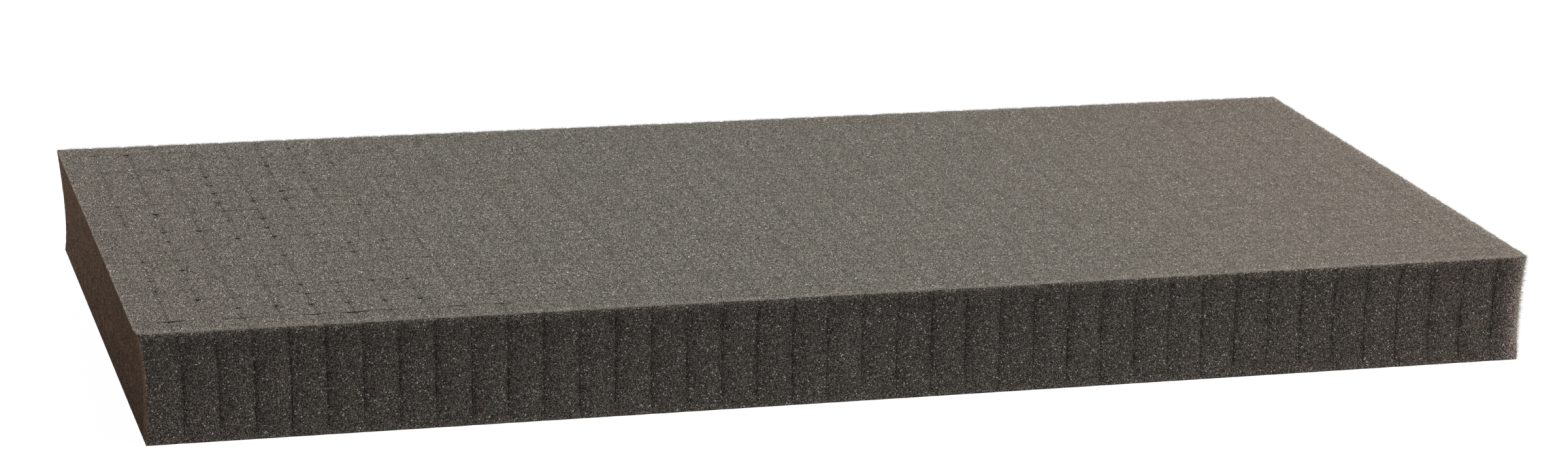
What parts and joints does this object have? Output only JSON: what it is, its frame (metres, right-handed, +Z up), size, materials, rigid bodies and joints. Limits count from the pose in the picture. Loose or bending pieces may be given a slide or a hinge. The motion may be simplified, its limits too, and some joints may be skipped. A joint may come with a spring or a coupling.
{
  "type": "foam block",
  "caption": "Rectangular slab of open-cell foam, knife-cut from the top into a raster of small cubes that pluck out to nest tools or parts.",
  "frame": {"origin": "middle of the underside", "axes": "+X along the length, +Y along the depth from the front side to the back side, +Z up from the underside to the cut face"},
  "size_m": [0.6, 0.3, 0.047],
  "materials": {
    "foam": "matte"
  },
  "bodies": {
    "root": {"foam_block": "foam"}
  },
  "joints": []
}
